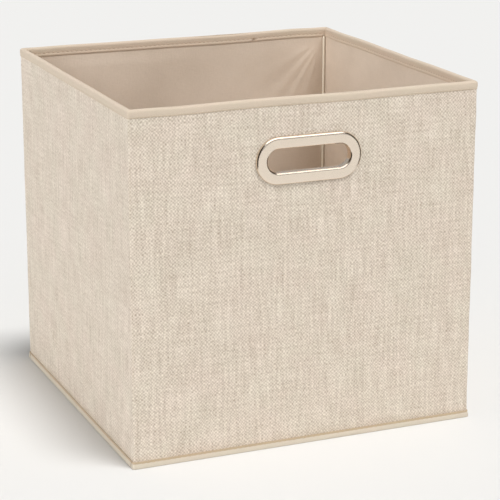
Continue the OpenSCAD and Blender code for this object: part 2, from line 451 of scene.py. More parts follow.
def woven(name, pitch, light, dark, contrast, relief, slub, edge=None):
    """Plain-woven cloth. Threads cross every pitch metres, wander a little, and some are thicker.
    edge tints the cloth by its place up the weave, as (place in metres, tint); these tints are mostly painted
    shade and painted light along seams and edges."""
    shader = Shader(name)
    where = shader.cloth_place()
    split = shader.axes(where)
    waves = []
    for axis, scale, stretch in (("X", 150, (1, 0.5, 1)), ("Y", 170, (0.5, 1, 1))):
        count = shader.math("MULTIPLY", split[axis], math.tau / (2 * pitch))
        shift = shader.math("MULTIPLY", shader.noise(where, scale, 3, stretch), WANDER)
        waves.append(shader.math("SINE", shader.math("ADD", count, shift)))
    # Each part of the height is (value, its middle, its weight)
    parts = (
        (shader.math("MULTIPLY", *waves), 0.0, 0.55),
        (shader.noise(where, 0.9 / pitch, 2, (1, 0.8, 1), 0.6), 0.5, 2.0),
        (shader.noise(where, 0.62 / pitch, 2, (1, 0.07, 1)), 0.5, slub * 1.6),
        (shader.noise(where, 0.52 / pitch, 2, (0.09, 1, 1)), 0.5, slub),
        (shader.noise(where, 0.09 / pitch, 3, (1, 0.5, 1)), 0.5, slub * 0.6),
    )
    height = None
    for value, middle, weight in parts:
        centred = shader.math("SUBTRACT", value, middle)
        scaled = shader.math("MULTIPLY", centred, weight)
        height = scaled if height is None else shader.math("ADD", height, scaled)
    tone = shader.math("ADD", shader.math("MULTIPLY", height, contrast), 0.5)
    base = shader.ramp(tone, [(0.0, dark), (1.0, light)])
    patches = shader.noise(where, 26, 2)
    tint = shader.ramp(patches, [(0.35, (0.99, 1.003, 0.995)), (0.65, (1.008, 0.994, 1.0))])
    colour = shader.mix(1.0, base, tint, "MULTIPLY")
    # Painted shade and painted light from the edge tints, by the place up the weave
    if edge:
        share = shader.math("MULTIPLY", split["Y"], 1 / EDGE_SPAN)
        shade = shader.ramp(share, [(place / EDGE_SPAN, band) for place, band in edge])
        colour = shader.mix(1.0, colour, shade, "MULTIPLY")
    shader.link(colour, shader.inputs["Base Color"])
    shader.bump(height, relief)
    return shader.finish(Roughness=0.88, Sheen_Weight=0.12, Specular_IOR_Level=0.25)


def felted(name, light, dark):
    """Nonwoven lining: pressed fibres with a faint dotted weld pattern and slow changes of tone."""
    shader = Shader(name)
    where = shader.cloth_place()
    upright_fibres = shader.noise(where, 900, 4, (1, 0.25, 1), 0.65)
    level_fibres = shader.noise(where, 700, 4, (0.3, 1, 1), 0.65)
    both = shader.math("ADD", upright_fibres, level_fibres)
    dots = shader.add("TexVoronoi")
    dots.inputs["Scale"].default_value = 750
    dots.inputs["Randomness"].default_value = 0.15
    shader.link(where, dots.inputs["Vector"])
    height = shader.math("ADD", both, shader.math("MULTIPLY", dots.outputs["Distance"], 0.5))
    slow = shader.math("MULTIPLY", shader.noise(where, 16, 3), 0.8)
    tone = shader.math("ADD", shader.math("MULTIPLY", both, 0.22), slow)
    shader.link(shader.ramp(tone, [(0.35, dark), (0.85, light)]), shader.inputs["Base Color"])
    shader.bump(height, 0.12 * MM)
    return shader.finish(Roughness=0.92, Sheen_Weight=0.08, Specular_IOR_Level=0.2)


def twisted(name, light, dark, pitch, relief, sheen=0.15):
    """Cord or thread: plies that run slantwise along the UV's length."""
    shader = Shader(name)
    where = shader.cloth_place()
    split = shader.axes(where)
    slant = shader.math("ADD", split["X"], split["Y"])
    plies = shader.math("SINE", shader.math("MULTIPLY", slant, math.tau / pitch))
    fluff = shader.noise(where, 1800, 3)
    height = shader.math("ADD", shader.math("MULTIPLY", plies, 0.3), fluff)
    shader.link(shader.ramp(height, [(0.15, dark), (0.8, light)]), shader.inputs["Base Color"])
    shader.bump(height, relief)
    return shader.finish(Roughness=0.7, Sheen_Weight=sheen)


def polished_metal(name, colour):
    """Polished nickel with faint rubbing marks."""
    shader = Shader(name)
    where = shader.solid_place()
    marks = shader.noise(where, 900, 3, (0.08, 1, 1))
    clouds = shader.noise(where, 60, 3)
    tone = shader.mix(clouds, colour, tuple(c * 0.94 for c in colour))
    shader.link(tone, shader.inputs["Base Color"])
    rough = shader.ramp(marks, [(0.3, (0.14,) * 3), (0.7, (0.22,) * 3)])
    shader.link(rough, shader.inputs["Roughness"])
    shader.bump(marks, 0.004 * MM)
    return shader.finish(Metallic=1.0)


def board(name):
    """Grey-brown pressed board with flecks."""
    shader = Shader(name)
    fibres = shader.noise(shader.solid_place(), 260, 5, (1, 1, 0.4), 0.7)
    colour = shader.ramp(fibres, [(0.3, linear(126, 104, 78)), (0.7, linear(172, 148, 116))])
    shader.link(colour, shader.inputs["Base Color"])
    shader.bump(fibres, 0.1 * MM)
    return shader.finish(Roughness=0.9)


# Tints by the place up a cloth's weave. The tapes' start at the edge on the cover. Most of these tints are
# painted shade and painted light, as told above each.
EDGE_SPAN = 25 * MM
# Rim tape: painted shade, a darker line along its edge on the cover; browner over the top and down the
# inside; painted light, a lighter band just above its inside edge.
TAPE_TINT_PAINTED_SHADE_AND_LIGHT = [
    (0.0, (0.90, 0.85, 0.78)), (0.5 * MM, (0.94, 0.90, 0.85)), (1.0 * MM, (0.99, 0.98, 0.97)),
    (10.5 * MM, (0.98, 0.955, 0.94)), (14.6 * MM, (1, 0.955, 0.925)), (15.8 * MM, (1.02, 0.975, 0.95)),
    (16.4 * MM, (1.06, 1.02, 0.995)), (17.5 * MM, (1.06, 1.02, 0.995)), (18.1 * MM, (1.02, 0.97, 0.94)),
]
# Foot tape: a tan band along its top edge, partly a tan line and partly painted shade of the groove between
# tape and cover.
FOOT_TAN_LINE_AND_PAINTED_SHADE = [
    (0.0, (0.80, 0.70, 0.58)), (1.9 * MM, (0.82, 0.73, 0.62)), (2.6 * MM, (1, 1, 1)), (20 * MM, (1, 1, 1)),
]
# Cover: painted shade low on the walls, just above the foot tape's seam.
COVER_PAINTED_SHADE = [(0.0, (0.92, 0.89, 0.86)), (6.5 * MM, (0.93, 0.905, 0.88)), (12 * MM, (1, 1, 1))]
COVER = woven("cover_weave", 1.5 * MM, linear(249, 239, 225), linear(166, 147, 127),
              0.4, 0.12 * MM, 0.78, COVER_PAINTED_SHADE)
TAPE = woven("tape_weave", 0.45 * MM, linear(223, 209, 191), linear(197, 182, 163),
             0.5, 0.05 * MM, 0.2, TAPE_TINT_PAINTED_SHADE_AND_LIGHT)
UNDERCOVER = woven("undercover_weave", 0.6 * MM, linear(222, 210, 194), linear(196, 182, 164),
                   0.5, 0.06 * MM, 0.2)
FOOT_TAPE = woven("foot_tape_weave", 0.45 * MM, linear(220, 209, 192), linear(198, 186, 168),
                  0.5, 0.05 * MM, 0.2, FOOT_TAN_LINE_AND_PAINTED_SHADE)
LINING = felted("lining_felt", linear(226, 210, 193), linear(206, 189, 171))
# The cord's near-white colour is partly its own pale colour and partly painted light, for the light it
# catches in the corner.
PIPING = twisted("piping_cord", linear(255, 248, 232), linear(246, 234, 212), 0.9 * MM, 0.03 * MM, 0.6)
PLY = (0.4 * MM, 0.02 * MM)
THREAD_LIGHT = twisted("thread_light", linear(226, 212, 192), linear(186, 170, 148), *PLY)
THREAD_TAN = twisted("thread_tan", linear(206, 184, 154), linear(176, 150, 118), *PLY)
# A darker copy of the same thread, for the stitches and knot inside the rim: painted shade of the stitch
# holes
THREAD_PAINTED_SHADE = twisted("thread_painted_shade", linear(196, 173, 148), linear(164, 140, 116), *PLY)
METAL = polished_metal("polished_nickel", (0.89, 0.775, 0.65))
BOARD = board("card_board")


# ---- the cloths of the walls ----

def around_handle(x, z):
    """Distance from the middle line of the handle's slot."""
    return np.hypot(np.maximum(np.abs(x) - RING_STRAIGHT, 0), z - RING_Z)


def wall_cloth(name, wall, s, z, faces, point, material, slot, body, replaces, hole=False):
    """A piece of a wall's cloth. s is the places along it, and z the lowest and highest place above each."""
    low, high = (np.broadcast_to(limit, s.shape) for limit in z)
    rows = np.linspace(0, 1, max(3, round((high - low).max() / (s[1] - s[0])) + 1))[:, None]
    across, up = np.broadcast_arrays(s[None, :], low + (high - low) * rows)
    front, back = (point(wall, across, up, depth) for depth in faces)
    uv = np.stack([girth(wall, across), up], -1)
    keep = None
    if hole:
        middle_s, middle_z = across[1:, 1:] - (s[1] - s[0]) / 2, (up[1:, 1:] + up[:-1, 1:]) / 2
        keep = around_handle(middle_s, middle_z) > (RING_R + SLOT_R) / 2 - 1 * MM
    return cloth(name, front, back, uv, material, slot, body, replaces, keep=keep)


def corner_grid(side, end, depth, z, stops, tight=False):
    """Points round a corner. There is a row for each depth and height, and a column for each stop."""
    depth, z = np.broadcast_arrays(np.asarray(depth, float), z)
    xy = [corner_xy(SIDES[side], ENDS[end], depth, stop, tight) for stop in stops]
    return np.stack([np.stack([x, y, z], -1) for x, y in xy], 1)


def corner_uv(side, end, stops, v):
    """Weave coordinates round a corner, in step with the walls beside it."""
    path = corner_grid(side, end, [0], 0, stops)[0]
    run = distances(path)
    first = girth(end, SIDES[side] * (HALF_W - CORNER_RUN))
    last = girth(side, ENDS[end] * (HALF_D - CORNER_RUN))
    if (side, end) == OPEN_CORNER:
        first = last + run[-1]
    u = first + (last - first) * run / run[-1]
    return weave(u, np.asarray(v))


def corner_body(side, end, depth):
    """The bodies on both sides of a corner, for cloth that bends beside it. depth is its innermost layer."""
    x, y = SIDES[side], ENDS[end]
    start = (x * HALF_W, y * (HALF_D - depth - 0.05 * MM), 0)
    stop = (x * HALF_W, y * (HALF_D - CORNER_BEND), 0)
    return f"{end}_wall", f"{side}_{end}", start, stop


def crease_body(side):
    x = SIDES[side] * HALF_W
    return f"{side}_front", f"{side}_rear", (x, -CREASE_BEND, 0), (x, CREASE_BEND, 0)


def wobble(z, seed):
    """Slight unevenness up a corner, from about -1 to 1."""
    rng = np.random.default_rng(seed)
    phases = rng.uniform(0, math.tau, 3)
    waves = (0.13, 0.071, 0.033)
    return sum(np.sin(z / wave * math.tau + phase) for wave, phase in zip(waves, phases)) / 3


def corner_cloth(name, side, end, section, v, material, slot, lap, sway=0):
    """Cloth round a corner. section is the (depth, z) rows of its front and back.
    The open corner has two pieces: one on the rear wall, and one tucked inside it, whose rows are lap."""
    stops = corner_stops()
    deepest = max(rows[0].max() for rows in section)
    outward = np.array([SIDES[side], ENDS[end], 0]) / math.sqrt(2)
    if (side, end) != OPEN_CORNER:
        bend = np.array([math.sin(2 * place) if kind == "bend" else 0 for place, kind in stops])
        shift = sway * wobble(section[0][1], len(name))[:, None] * bend[None, :]
        grids = [corner_grid(side, end, *rows, stops) + shift[..., None] * outward for rows in section]
        body = corner_body(side, end, max(deepest, 1.5 * MM))
        return cloth(name, *grids, corner_uv(side, end, stops, v), material, slot, body)
    laid = [stop for stop in stops if stop[1] != "side"] + [((PIVOT_IN + LAP_END) / 2, "at"), (LAP_END, "at")]
    tucked = [stop for stop in stops if stop[1] != "end"]
    proud = LAP_PROUD * np.array([{"end": 0, "at": 1}.get(kind, math.sin(place)) for place, kind in laid])
    over = [corner_grid(side, end, *rows, laid) for rows in section]
    if slot != "lining":
        over = [grid + proud[None, :, None] * np.array([SIDES[side], 0, 0]) for grid in over]
    inside = [0.0 if kind == "side" and place > LAP_SHARE else 1.0 for place, kind in tucked]
    ramp = np.array(inside)[None, :, None]
    under = []
    for rows, lap_rows in zip(section, lap):
        plain, inner = (corner_grid(side, end, *r, tucked, True) for r in (rows, lap_rows))
        under.append(plain * (1 - ramp) + inner * ramp)
    cloth(name, *over, corner_uv(side, end, laid, v), material, slot, f"{end}_wall")
    return cloth(name + "_tucked", *under, corner_uv(side, end, tucked, v), material, slot, f"{side}_{end}")


LAP_PROUD = 0.15 * MM
# The share of the side wall's strip that lies under the lap
LAP_SHARE = 0.17
OPEN_CORNER = ("right", "rear")
FACES_COVER = (0, COVER_T)
FACES_LINING = (WALL_T, WALL_T - LINING_T)
FINE_CELL = 1.3 * MM

for end in ENDS:
    run = end_run()
    body = f"{end}_wall"
    wall_cloth(f"{end}_cover_cloth", end, run, (SHEET_LOW, COVER_HIGH_Z), FACES_COVER, cover_point,
               COVER, "cover", body, [f"{end}_cover"], end == "front")
    cell = FINE_CELL if end == "rear" else CELL
    run = end_run(cell)
    wall_cloth(f"{end}_lining_cloth", end, run, (LINING_FOOT_Z, LINING_HIGH_Z), FACES_LINING, lining_point,
               LINING, "lining", body, [f"{end}_lining"], end == "front")

for side in SIDES:
    for end, sign in ENDS.items():
        body = f"{side}_{end}"
        hinge = (SIDES[side] * HALF_W, 0, APEX_Z)
        layers = (
            ("cover", COVER, FACES_COVER, cover_point, COVER_HIGH_Z, (side, end) == ("left", "rear")),
            ("lining", LINING, FACES_LINING, lining_point, LINING_HIGH_Z, side == "right"),
        )
        for layer, material, faces, point, high, fine in layers:
            cell = FINE_CELL if fine else CELL
            run = side_run(sign, CREASE_RUN, cell)
            wall_cloth(f"{body}_{layer}_cloth", side, run, (APEX_Z - np.abs(run), high), faces, point,
                       material, layer, body, [f"{body}_{layer}"])
            run = side_run(sign, 0, cell)
            gusset = wall_cloth(f"{body}_gusset_{layer}_cloth", side, run, (SHEET_LOW, APEX_Z - np.abs(run)),
                                faces, point, material, layer, body, [f"{body}_gusset_{layer}"])
            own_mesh(gusset)
    run = np.linspace(-CREASE_RUN, CREASE_RUN, 23)
    for layer, material, faces, point, high in (
        ("cover", COVER, FACES_COVER, cover_point, COVER_HIGH_Z),
        ("lining", LINING, FACES_LINING, lining_point, LINING_HIGH_Z),
    ):
        wall_cloth(f"{side}_crease_{layer}_cloth", side, run, (APEX_Z - np.abs(run), high), faces, point,
                   material, layer, crease_body(side), [])

for side in SIDES:
    for end in ENDS:
        z = steps(SHEET_LOW, COVER_HIGH_Z)
        rows = [(np.full(z.shape, depth), z) for depth in (0, COVER_T, 0.45 * MM, 0.95 * MM)]
        corner_cloth(f"{side}_{end}_corner_cover_cloth", side, end, rows[:2], z, COVER, "cover", rows[2:],
                     0.3 * MM)
        z = steps(LINING_FOOT_Z, LINING_HIGH_Z)
        rows = [(np.full(z.shape, depth), z) for depth in (WALL_T, WALL_T - 0.4 * MM, 3.15 * MM, 2.9 * MM)]
        corner_cloth(f"{side}_{end}_corner_lining_cloth", side, end, rows[:2], z, LINING, "lining", rows[2:])


# ---- base ----

def strip(name, end, path, half_x, thickness, material, slot, body):
    """Cloth along the hinge between a wall and the base. path is its (depth, z) from wall to base."""
    path = resample(path, 0.8 * MM)
    x = steps(-half_x, half_x, 6 * MM)
    faces = []
    for depth, z in (path.T, offset(path, thickness).T):
        across = np.broadcast_arrays(x[None, :], depth[:, None])[0]
        faces.append(on_wall(end, across, z[:, None], depth[:, None]))
    v = distances(path)
    uv = weave(x, v)
    return cloth(name, *faces, uv, material, slot, body)


def offset(path, distance):
    """The path moved sideways, to the right of the way it runs."""
    along = np.gradient(path, axis=0)
    along = along / np.linalg.norm(along, axis=1)[:, None]
    return path + distance * np.stack([along[:, 1], -along[:, 0]], -1)


def resample(path, cell):
    """The same path with points about a cell apart, and its corners a little rounded."""
    path = np.asarray(path, float)
    for _ in range(3):
        inner = np.stack([path[:-1] * 0.75 + path[1:] * 0.25, path[:-1] * 0.25 + path[1:] * 0.75], 1)
        path = np.concatenate([path[:1], inner.reshape(-1, 2), path[-1:]])
    run = distances(path)
    at = steps(0, run[-1], cell)
    return np.stack([np.interp(at, run, path[:, k]) for k in (0, 1)], -1)


BASE_RUN = 12 * MM
UNDER_RUN = 14 * MM
for end, sign in ENDS.items():
    body = f"base_{end}"
    x = steps(-BASE_X, BASE_X)
    y = steps(BASE_MID, BASE_EDGE)
    low_y = steps(BASE_MID, HALF_D - UNDER_RUN)
    for layer, material, slot, tops, places in (
        ("lining", LINING, "lining", (BASE_TOP, BASE_TOP - BASE_T), y),
        ("undercover", UNDERCOVER, "cover", (0, BASE_T), low_y),
    ):
        across, along = np.meshgrid(x, sign * places)
        soft = 0.25 * MM * ripple(across, along, 31 + sign, 0.12) if layer == "lining" else 0 * across
        edge = smooth((BASE_X - np.abs(across)) / (20 * MM))
        edge = edge * smooth((BASE_EDGE - np.abs(along) - 12 * MM) / (20 * MM))
        edge = edge * smooth(np.abs(along) / (20 * MM))
        front, back = (np.stack([across, along, top + (0.25 * MM + soft) * edge * (layer == "lining")], -1)
                       for top in tops)
        uv = np.stack([across, along], -1)
        cloth(f"{body}_{layer}_cloth", front, back, uv, material, slot, body, [f"{body}_{layer}"], "laid")
    hinge = (f"{end}_wall", body)
    top = BASE_TOP + 0.3 * MM
    near = WALL_T + 0.3 * MM
    inner = [(near, 12 * MM), (near, 7 * MM), (near + 1 * MM, top + 0.6 * MM)]
    inner += [(near + 4 * MM, top), (BASE_RUN, top)]
    start, stop = ((0, sign * (HALF_D - depth), z) for depth, z in ((near, 9 * MM), (BASE_RUN - 2 * MM, top)))
    strip(f"{body}_inner_hinge_cloth", end, inner, HALF_W - CORNER_RUN + 7 * MM, 0.3 * MM, LINING, "lining",
          (*hinge, start, stop))
    under = [(WALL_T + 0.1 * MM, 0.5 * MM), (UNDER_RUN, 0.5 * MM)]
    start, stop = ((0, sign * (HALF_D - depth), 0) for depth in (WALL_T + 0.5 * MM, UNDER_RUN - 2 * MM))
    strip(f"{body}_under_hinge_cloth", end, under, BASE_X - 1 * MM, 0.5 * MM, UNDERCOVER, "cover",
          (*hinge, start, stop))


# ---- tape over the rim and round the foot ----

STITCH_PITCH = 4.5 * MM
TAPE_CELL = 1.1 * MM
TOP_R = WALL_T / 2 + TAPE_T


def pressed(away):
    """How far the tape is pressed in near its cut edges."""
    return 0.35 * MM * bell(away / (0.7 * MM))


def rim_path():
    """The rim tape's section as (depth, z): up the outside, over the top and down inside."""
    turn = np.linspace(math.pi, 0, 11)
    over = np.stack([WALL_T / 2 + TOP_R * np.cos(turn), RIM_TOP - TOP_R + TOP_R * np.sin(turn)], -1)
    outer_z = np.linspace(OUTER_TAPE_Z, RIM_TOP - TOP_R, 11)[:-1]
    inner_z = np.linspace(RIM_TOP - TOP_R, INNER_TAPE_Z, 13)[1:]
    outer = np.stack([pressed(outer_z - OUTER_TAPE_Z) - TAPE_T, outer_z], -1)
    inner = np.stack([WALL_T + TAPE_T - pressed(inner_z - INNER_TAPE_Z), inner_z], -1)
    return np.concatenate([outer, over, inner])


def foot_path():
    """The foot tape's section as (depth, z): down the outside and under the wall."""
    outline = [(-0.15, 6.0), (-0.7, 6.0), (-0.95, 5.3), (-0.55, 4.4), (-1.0, 3.6), (-1.2, 2.6), (-1.28, 0.9),
               (-1.25, 0.02), (-0.9, 0.02), (0.3, 0.02), (WALL_T / MM, 0.02)]
    return resample(np.array(outline) * MM, 0.5 * MM)


def rim_relief(s, z, dimples):
    """How far the rim tape stands out of its plain section."""
    line = bell((z - STITCH_Z) / (0.7 * MM))
    pull = 0.65 + 0.35 * dimples * np.cos(s / STITCH_PITCH * math.tau)
    swell = 1 + 0.35 * dimples * np.sin(s / STITCH_PITCH * math.tau)
    puff = 0.14 * bell((z - STITCH_Z + 1.9 * MM) / (1.1 * MM)) * swell
    return MM * (puff - 0.24 * line * pull)


def tape_faces(path, thickness, relief):
    """Depth and z of a tape's front and back, given its section and how far it stands out at each place."""
    outward = offset(path, -1)[:, None, :] - path[:, None, :]
    front = path[:, None, :] + outward * relief[..., None]
    back = path[:, None, :] + outward * (0.4 * relief[..., None] - thickness)
    return front, back


def rim_wave(wall, s):
    """Slow rise and fall of the rim, which dies out towards corners and creases."""
    half = HALF_RUN[wall] - CORNER_RUN
    inset = np.minimum(half - np.abs(s), np.where(wall in ENDS, 1.0, np.abs(s) - CREASE_RUN))
    return 0.35 * MM * ripple(s, 0 * s, 50 + list(WALLS).index(wall), 0.12) * smooth(inset / (25 * MM))


def rim_tape(name, wall, s, body, replaces=(), plain=False):
    path = rim_path()
    fade = 0 if plain else smooth((np.minimum(s - s[0], s[-1] - s)) / (5 * MM))[None, :]
    relief = rim_relief(s[None, :], path[:, 1:], fade) + 0 * s[None, :]
    lift = rim_wave(wall, s)[None, :] if not plain else 0
    v = distances(path)
    faces = tape_faces(path, TAPE_T, relief)
    grids = [on_wall(wall, s[None, :], face[..., 1] + lift, face[..., 0]) for face in faces]
    uv = weave(girth(wall, s), v)
    return cloth(name, *grids, uv, TAPE, "tape", body, replaces, "folded")


def rim_corner(side, end):
    path = rim_path()
    relief = rim_relief(0, path[:, 1:], 0)
    front, back = (face[:, 0] for face in tape_faces(path, TAPE_T, relief))
    inner_front, inner_back = offset(path, TAPE_T + 0.06 * MM), offset(path, TAPE_T + 0.3 * MM)
    rows = [(face[:, 0], face[:, 1]) for face in (front, back, inner_front, inner_back)]
    v = distances(path)
    corner_cloth(f"{side}_{end}_corner_rim_tape", side, end, rows[:2], v, TAPE, "tape", rows[2:])


for end in ENDS:
    run = end_run(TAPE_CELL)
    rim_tape(f"{end}_rim_tape", end, run, f"{end}_wall", [f"{end}_rim_binding"])
for side in SIDES:
    for end, sign in ENDS.items():
        run = side_run(sign, CREASE_RUN, TAPE_CELL)
        body = f"{side}_{end}"
        rim_tape(f"{body}_rim_tape", side, run, body, [f"{body}_rim_binding"])
        rim_corner(side, end)
    run = np.linspace(-CREASE_RUN, CREASE_RUN, 23)
    rim_tape(f"{side}_crease_rim_tape", side, run, crease_body(side), plain=True)


def foot_relief(s, z):
    return 0.08 * MM * ripple(s, z, 70, 0.05) * (z > 1 * MM)


def foot_tape():
    path = foot_path()
    v = distances(path)
    thickness = 0.45 * MM
    back_path = offset(path, -thickness)
    for end, sign in ENDS.items():
        run = end_run(2 * MM)
        stops = [s for s in corner_stops() if s[1] != "side"] + [(3.8 * MM, "at")]
        faces = []
        for rows in (path, back_path):
            shift = 0 if rows is back_path else 1
            depth = rows[:, :1] - shift * foot_relief(run[None, :], rows[:, 1:])
            wall = on_wall(end, run[None, :], rows[:, 1:], depth)
            left, right = (corner_grid(side, end, rows[:, 0], rows[:, 1], stops) for side in SIDES)
            faces.append(np.concatenate([left[:, ::-1][:, :-1], wall, right[:, 1:]], 1))
        u = distances(faces[0][0])
        uv = weave(u, v)
        cloth(f"{end}_foot_tape", *faces, uv, FOOT_TAPE, "tape", f"{end}_wall",
              [f"{end}_foot_binding"], "folded")
        for side in SIDES:
            run = sign * steps(BASE_MID, HALF_D - 5 * MM, 2 * MM)
            clear = np.minimum(path, [-0.12 * MM, 1])
            clear[path[:, 1] < 0.5 * MM] = path[path[:, 1] < 0.5 * MM]
            faces = [on_wall(side, run[None, :], rows[:, 1:], rows[:, :1] + 0 * run[None, :])
                     for rows in (clear, offset(clear, -thickness))]
            uv = weave(run, v)
            cloth(f"base_{end}_{side}_foot_tape", *faces, uv, FOOT_TAPE, "tape", f"base_{end}",
                  [f"base_{end}_side_binding"], "folded")


foot_tape()


# ---- stitches, piping and handle ----

STITCH_L = 3 * MM
STITCH_R = 0.28 * MM
# How far the rim's stitches sit in the tape
STITCH_SUNK = 0.12 * MM
FOOT_STITCH_L = 3.6 * MM
FOOT_STITCH_Z = 4.3 * MM
FOOT_STITCH_OUT = 0.62 * MM


def stitches(name, middles, along, outward, material, body, replaces=(), length=STITCH_L):
    """Separate stitches: a small rounded bar at each middle, whose ends dip into the cloth."""
    middles, along, outward = (np.asarray(a, float) for a in (middles, along, outward))
    along, outward = np.broadcast_to(along, middles.shape), np.broadcast_to(outward, middles.shape)
    across = np.cross(along, outward)
    t = np.array([-1, -0.8, -0.35, 0.35, 0.8, 1])
    angles = np.arange(8) * math.tau / 8
    radius = STITCH_R * np.sqrt(1 - 0.85 * t**4)
    dip = -0.45 * MM * t**4
    rings = (
        middles[:, None, None]
        + (t * length / 2)[None, :, None, None] * along[:, None, None]
        + (dip[:, None] + radius[:, None] * np.cos(angles))[None, ..., None] * outward[:, None, None]
        + (radius[:, None] * np.sin(angles))[None, ..., None] * across[:, None, None]
    )
    count = len(t) * len(angles)
    ring = np.arange(count).reshape(len(t), len(angles))
    turned = np.roll(ring, -1, 1)
    sides = np.stack([ring[:-1], turned[:-1], turned[1:], ring[1:]], -1).reshape(-1, 4)
    faces = []
    for k in range(len(middles)):
        faces += (sides + k * count).tolist()
        faces += [(ring[0][::-1] + k * count).tolist(), (ring[-1] + k * count).tolist()]
    mesh = bpy.data.meshes.new(name)
    mesh.from_pydata(rings.reshape(-1, 3).tolist(), [], faces)
    u = np.broadcast_to((t * length / 2)[None, :, None], rings.shape[:3])
    v = np.broadcast_to((angles * STITCH_R)[None, None, :], rings.shape[:3])
    fasten(link(mesh, name, material, np.stack([u, v], -1).reshape(-1, 2), 80), body, replaces)


def stitch_places(low, high):
    count = round((high - low) / STITCH_PITCH)
    return low + (np.arange(count) + 0.5) * (high - low) / count


def rim_stitches(name, wall, low, high, body, replaces=(), steady=False):
    """The stitches through the rim tape along a stretch of wall, seen outside and inside."""
    s = stitch_places(low, high)
    (ax, ay), (ox, oy), _ = WALLS[wall]
    z = STITCH_Z + (0 if steady else rim_wave(wall, s))
    z = z + 0 * s
    for face, depth, turn, material in (
        ("outer", -TAPE_T + STITCH_SUNK, 1, THREAD_LIGHT),
        # The inner stitches take the darker copy of the thread: painted shade
        ("inner", WALL_T + TAPE_T - STITCH_SUNK, -1, THREAD_PAINTED_SHADE),
    ):
        middles = on_wall(wall, s, z, depth)
        stitches(f"{name}_{face}_stitches", middles, (ax, ay, 0), (turn * ox, turn * oy, 0),
                 material, body, replaces if face == "outer" else ())


def foot_stitches(name, wall, low, high, body):
    s = stitch_places(low, high)
    (ax, ay), (ox, oy), _ = WALLS[wall]
    middles = on_wall(wall, s, FOOT_STITCH_Z + 0 * s, -FOOT_STITCH_OUT)
    stitches(f"{name}_foot_stitches", middles, (ax, ay, 0), (ox, oy, 0),
             THREAD_TAN, body, length=FOOT_STITCH_L)


for end in ENDS:
    inset = HALF_W - 6 * MM
    rim_stitches(f"{end}_rim", end, -inset, inset, f"{end}_wall", [f"{end}_rim_stitching"])
    foot_stitches(end, end, -inset, inset, f"{end}_wall")
for side in SIDES:
    for end, sign in ENDS.items():
        low, high = sorted((sign * CREASE_RUN, sign * (HALF_D - CORNER_RUN)))
        body = f"{side}_{end}"
        rim_stitches(f"{body}_rim", side, low, high, body, [f"{body}_rim_stitching"])
        low, high = sorted((sign * 1 * MM, sign * (HALF_D - CORNER_RUN)))
        foot_stitches(f"base_{end}_{side}", side, low, high, f"base_{end}")
    rim_stitches(f"{side}_crease_rim", side, -CREASE_RUN, CREASE_RUN, crease_body(side), steady=True)


def tube(name, points, radius, material, sides=12):
    """A round cord along points, with rounded ends."""
    points = np.asarray(points, float)
    radius = np.broadcast_to(radius, len(points))
    along = np.gradient(points, axis=0)
    along /= np.linalg.norm(along, axis=1)[:, None]
    guide = np.array([0, 0, 1.0]) if abs(along[0][2]) < 0.7 else np.array([1.0, 0, 0])
    first = np.cross(along, guide)
    first /= np.linalg.norm(first, axis=1)[:, None]
    second = np.cross(along, first)
    angles = np.arange(sides) * math.tau / sides
    ring = points[:, None] + radius[:, None, None] * (
        np.cos(angles)[None, :, None] * first[:, None] + np.sin(angles)[None, :, None] * second[:, None])
    index = np.arange(len(points) * sides).reshape(-1, sides)
    turned = np.roll(index, -1, 1)
    faces = np.stack([index[:-1], turned[:-1], turned[1:], index[1:]], -1).reshape(-1, 4).tolist()
    faces += [index[0][::-1].tolist(), index[-1].tolist()]
    mesh = bpy.data.meshes.new(name)
    mesh.from_pydata(ring.reshape(-1, 3).tolist(), [], faces)
    run = distances(points)
    uv = np.stack(np.broadcast_arrays(run[:, None], (angles * radius.max())[None, :]), -1)
    return link(mesh, name, material, uv.reshape(-1, 2), 80)


# The cord just touches the linings on both sides, at rest and folded
PIPING_R = PIVOT_IN - WALL_T
for end, sign in ENDS.items():
    for side, x in SIDES.items():
        z = steps(6 * MM, INNER_TAPE_Z + 0.5 * MM, 2 * MM)
        sway = 0.12 * MM * wobble(z, 5 + sign)
        cord_line = np.stack([x * (HALF_W - PIVOT_IN) + sway, sign * (HALF_D - PIVOT_IN) + 0 * z, z], -1)
        taper = PIPING_R * np.minimum(1, 0.5 + np.minimum(z - z[0], z[-1] - z) / (2 * MM))
        cord = tube(f"{side}_{end}_corner_piping_cord", cord_line, taper, PIPING)
        fasten(cord, f"{end}_wall", [f"{end}_corner_piping"])


def ring(name, section, replaces):
    """A closed section carried once round the handle's slot. It is (distance from the slot's middle line,
    height above the front wall's outer face)."""
    half = RING_STRAIGHT
    flat = steps(-half, half, 3 * MM)[:-1]
    turn = np.linspace(0, math.pi, 45)[:-1]
    stations = [(x, 0, 1) for x in flat]
    stations += [(half, math.sin(a), math.cos(a)) for a in turn]
    stations += [(-x, 0, -1) for x in flat]
    stations += [(-half, -math.sin(a), -math.cos(a)) for a in turn]
    stations = np.array(stations)
    section = np.array(section) * MM
    x = stations[:, None, 0] + section[None, :, 0] * stations[:, None, 1]
    y = np.broadcast_to(-HALF_D - section[None, :, 1], x.shape)
    z = RING_Z + section[None, :, 0] * stations[:, None, 2]
    index = np.arange(x.size).reshape(x.shape)
    ahead, beside = np.roll(index, -1, 0), np.roll(index, -1, 1)
    both = np.roll(ahead, -1, 1)
    mesh = bpy.data.meshes.new(name)
    mesh.from_pydata(np.stack([x, y, z], -1).reshape(-1, 3).tolist(), [],
                     np.stack([index, ahead, both, beside], -1).reshape(-1, 4).tolist())
    fasten(link(mesh, name, METAL, None, 40), "front_wall", [replaces])


def bow(middle, radius, start, end, count=7):
    """Points of an arc, in millimetres and degrees."""
    angles = np.radians(np.linspace(start, end, count))
    return [(middle[0] + radius * math.cos(a), middle[1] + radius * math.sin(a)) for a in angles]


